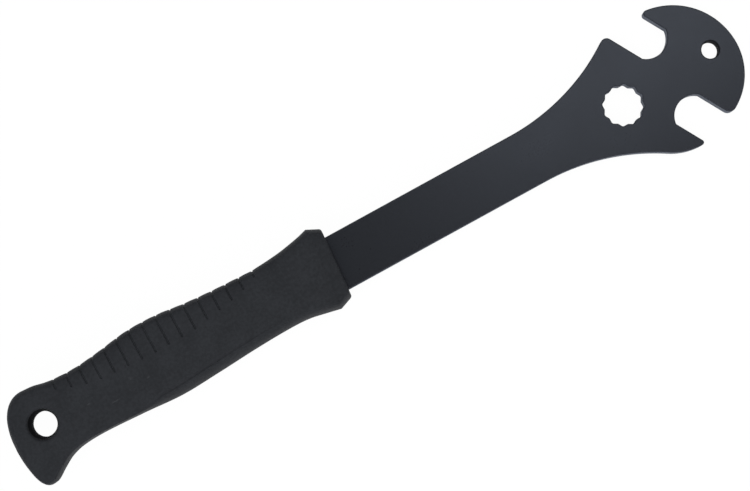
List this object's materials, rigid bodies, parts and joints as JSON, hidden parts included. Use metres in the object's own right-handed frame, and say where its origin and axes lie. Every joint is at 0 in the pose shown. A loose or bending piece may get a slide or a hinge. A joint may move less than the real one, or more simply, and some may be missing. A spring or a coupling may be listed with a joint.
{
  "type": "pedal wrench",
  "caption": "Long flat steel pedal wrench with slanted open jaws, a notched ring and a small hole in its round head, and a contoured black rubber grip with thumb grooves and a hang hole.",
  "frame": {"origin": "centre of the hang hole on the middle plane of the plate", "axes": "+X along the wrench from the hang hole to the nose of the head, +Z square to the flat of the plate, +Y towards the thumb grooves"},
  "size_m": [0.3389, 0.0595, 0.0212],
  "materials": {
    "black_steel": "satin black finish on steel plate",
    "black_rubber": "matt moulded rubber"
  },
  "bodies": {
    "root": {"blade": "black_steel", "grip": "black_rubber"}
  },
  "joints": []
}
